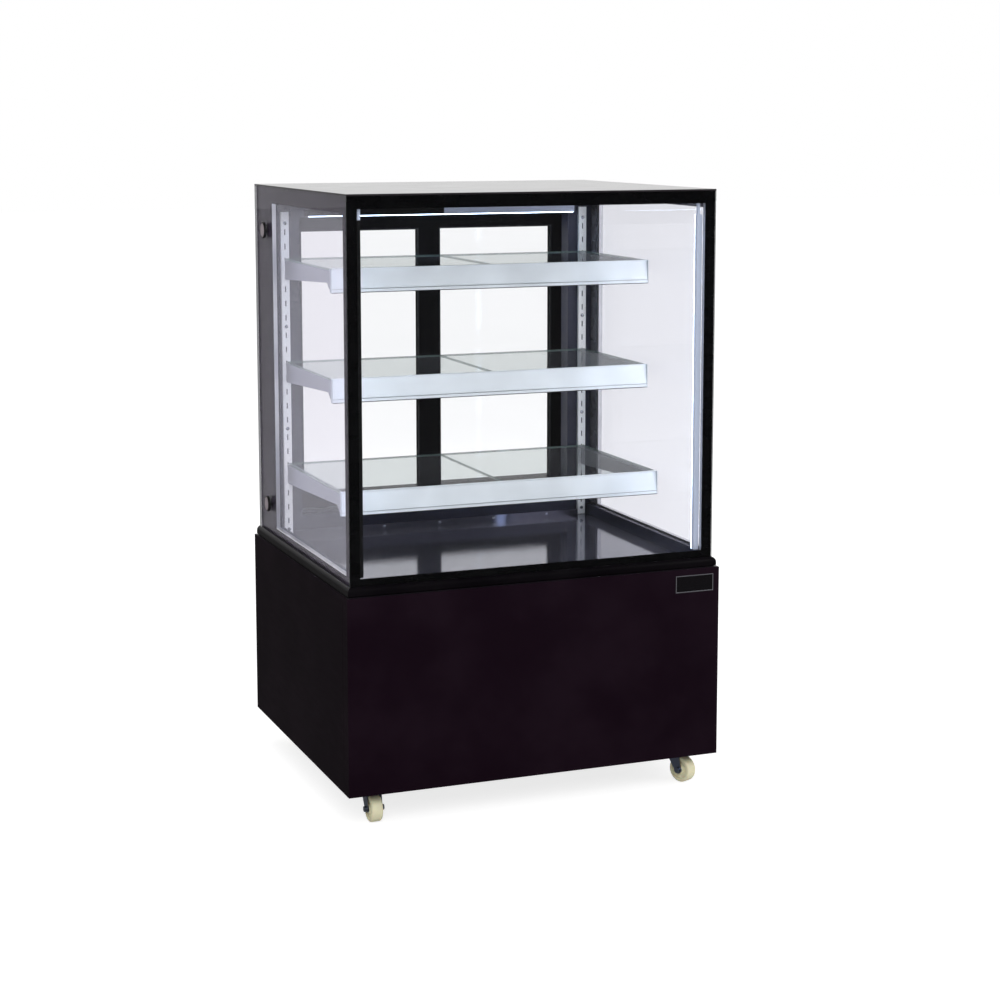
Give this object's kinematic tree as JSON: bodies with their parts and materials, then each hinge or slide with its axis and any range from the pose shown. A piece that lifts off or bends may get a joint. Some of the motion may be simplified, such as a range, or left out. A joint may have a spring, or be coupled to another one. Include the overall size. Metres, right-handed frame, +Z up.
{
  "type": "refrigerated display case",
  "caption": "Upright glazed refrigerated display case with glass shelves on slotted uprights, sliding rear doors and a sheet metal machine base on swivel castors.",
  "frame": {"origin": "on the floor, under the middle of the base", "axes": "+Z up, front glass towards -Y, sliding doors towards +Y, +X to the right seen from the front"},
  "size_m": [0.9, 0.772, 1.39],
  "materials": {
    "painted_dark": "semi-gloss powder coat",
    "trim_black": "gloss black moulding",
    "clear_glass": "polished, insulated panes",
    "shelf_glass": "polished, green-grey edge",
    "spacer_aluminium": "satin",
    "print_black": "black ceramic print behind glass",
    "clamp_black": "black cap with a light grey face",
    "roof_paint": "light grey enamel",
    "lining_dark": "satin blue-black",
    "deck_steel": "dark polished",
    "bright_screw": "bright zinc",
    "upright_white": "white powder coat",
    "bracket_grey": "grey powder coat",
    "strip_aluminium": "satin anodised",
    "lamp_white": "white housing",
    "lamp_lens": "opal diffuser",
    "door_black": "black anodised",
    "castor_steel": "blue zinc",
    "castor_nylon": "beige nylon",
    "tub_foam": "white skinned foam",
    "fin_aluminium": "bare fins",
    "zinc_steel": "galvanised",
    "compressor_black": "gloss black",
    "fan_plastic": "moulded black",
    "copper": "bare copper tube",
    "control_plastic": "fine grain",
    "switch_green": "translucent green",
    "switch_amber": "translucent amber",
    "badge_silver": "satin with a bright rim"
  },
  "bodies": {
    "cabinet": {"base_frame": "painted_dark", "base_front_panel": "painted_dark", "base_side_panels": "painted_dark", "base_rear_panel": "painted_dark", "plinth_trim": "trim_black", "side_glass": "clear_glass", "front_glass": "clear_glass", "glazing_spacers": "spacer_aluminium", "printed_borders": "print_black", "glass_clamps": "clamp_black", "roof_skin": "roof_paint", "ceiling_box": "lining_dark", "deck_plate": "deck_steel", "deck_supports": "lining_dark", "lining_screws": "bright_screw", "air_duct_cover": "lining_dark", "rear_frame": "lining_dark", "door_tracks": "spacer_aluminium", "shelf_uprights": "upright_white", "shelf_brackets": "bracket_grey", "upper_shelf_glass": "shelf_glass", "middle_shelf_glass": "shelf_glass", "lower_shelf_glass": "shelf_glass", "upper_shelf_strip": "strip_aluminium", "middle_shelf_strip": "strip_aluminium", "lower_shelf_strip": "strip_aluminium", "lamp_bodies": "lamp_white", "lamp_lenses": "lamp_lens", "castor_plates": "castor_steel", "insulated_tub": "tub_foam", "evaporator_coil": "fin_aluminium", "evaporator_fan_housings": "fan_plastic", "unit_base": "zinc_steel", "compressor": "compressor_black", "condenser_coil": "fin_aluminium", "condenser_shroud": "zinc_steel", "condenser_fan_motor": "compressor_black", "refrigerant_pipes": "copper", "drain_pan": "zinc_steel", "control_tray": "control_plastic", "temperature_controller": "control_plastic", "mains_inlet": "control_plastic", "blank_badge": "badge_silver"},
    "left_door": {"left_door_frame": "door_black", "left_door_glass": "clear_glass"},
    "right_door": {"right_door_frame": "door_black", "right_door_glass": "clear_glass"},
    "castor_fork_front_left": {"castor_fork_front_left": "castor_steel"},
    "castor_wheel_front_left": {"castor_wheel_front_left": "castor_nylon"},
    "castor_fork_front_right": {"castor_fork_front_right": "castor_steel"},
    "castor_wheel_front_right": {"castor_wheel_front_right": "castor_nylon"},
    "castor_fork_rear_left": {"castor_fork_rear_left": "castor_steel"},
    "castor_wheel_rear_left": {"castor_wheel_rear_left": "castor_nylon"},
    "castor_fork_rear_right": {"castor_fork_rear_right": "castor_steel"},
    "castor_wheel_rear_right": {"castor_wheel_rear_right": "castor_nylon"},
    "condenser_fan": {"condenser_fan_rotor": "fan_plastic"},
    "evaporator_fan_left": {"evaporator_fan_rotor_left": "fan_plastic"},
    "evaporator_fan_right": {"evaporator_fan_rotor_right": "fan_plastic"},
    "power_rocker": {"power_switch_rocker": "switch_green"},
    "light_rocker": {"light_switch_rocker": "switch_amber"}
  },
  "joints": [
    {"name": "left_door_slide", "type": "slide", "parent": "cabinet", "child": "left_door", "axis": [1, 0, 0], "range_m": [0, 0.37]},
    {"name": "right_door_slide", "type": "slide", "parent": "cabinet", "child": "right_door", "axis": [1, 0, 0], "range_m": [-0.37, 0]},
    {"name": "castor_swivel_front_left", "type": "hinge", "parent": "cabinet", "child": "castor_fork_front_left", "pos_m": [-0.378, -0.315, 0.072], "axis": [0, 0, 1], "continuous": true},
    {"name": "castor_spin_front_left", "type": "hinge", "parent": "castor_fork_front_left", "child": "castor_wheel_front_left", "pos_m": [-0.378, -0.337, 0.03], "axis": [1, 0, 0], "continuous": true},
    {"name": "castor_swivel_front_right", "type": "hinge", "parent": "cabinet", "child": "castor_fork_front_right", "pos_m": [0.378, -0.315, 0.072], "axis": [0, 0, 1], "continuous": true},
    {"name": "castor_spin_front_right", "type": "hinge", "parent": "castor_fork_front_right", "child": "castor_wheel_front_right", "pos_m": [0.38695, -0.3351, 0.03], "axis": [0.9135, 0.4067, 0], "continuous": true},
    {"name": "castor_swivel_rear_left", "type": "hinge", "parent": "cabinet", "child": "castor_fork_rear_left", "pos_m": [-0.378, 0.315, 0.072], "axis": [0, 0, 1], "continuous": true},
    {"name": "castor_spin_rear_left", "type": "hinge", "parent": "castor_fork_rear_left", "child": "castor_wheel_rear_left", "pos_m": [-0.37231, 0.29375, 0.03], "axis": [0.9659, 0.2588, 0], "continuous": true},
    {"name": "castor_swivel_rear_right", "type": "hinge", "parent": "cabinet", "child": "castor_fork_rear_right", "pos_m": [0.378, 0.315, 0.072], "axis": [0, 0, 1], "continuous": true},
    {"name": "castor_spin_rear_right", "type": "hinge", "parent": "castor_fork_rear_right", "child": "castor_wheel_rear_right", "pos_m": [0.37231, 0.29375, 0.03], "axis": [0.9659, -0.2588, 0], "continuous": true},
    {"name": "condenser_fan_spin", "type": "hinge", "parent": "cabinet", "child": "condenser_fan", "pos_m": [0.05, 0.241, 0.199], "axis": [0, 1, 0], "continuous": true},
    {"name": "evaporator_fan_spin_left", "type": "hinge", "parent": "cabinet", "child": "evaporator_fan_left", "pos_m": [-0.14, 0.006, 0.43], "axis": [0, 1, 0], "continuous": true},
    {"name": "evaporator_fan_spin_right", "type": "hinge", "parent": "cabinet", "child": "evaporator_fan_right", "pos_m": [0.14, 0.006, 0.43], "axis": [0, 1, 0], "continuous": true},
    {"name": "power_switch_rock", "type": "hinge", "parent": "cabinet", "child": "power_rocker", "pos_m": [0.288, 0.368, 0.446], "axis": [1, 0, 0], "range_deg": [-14, 0]},
    {"name": "light_switch_rock", "type": "hinge", "parent": "cabinet", "child": "light_rocker", "pos_m": [0.332, 0.368, 0.446], "axis": [1, 0, 0], "range_deg": [-14, 0]}
  ]
}
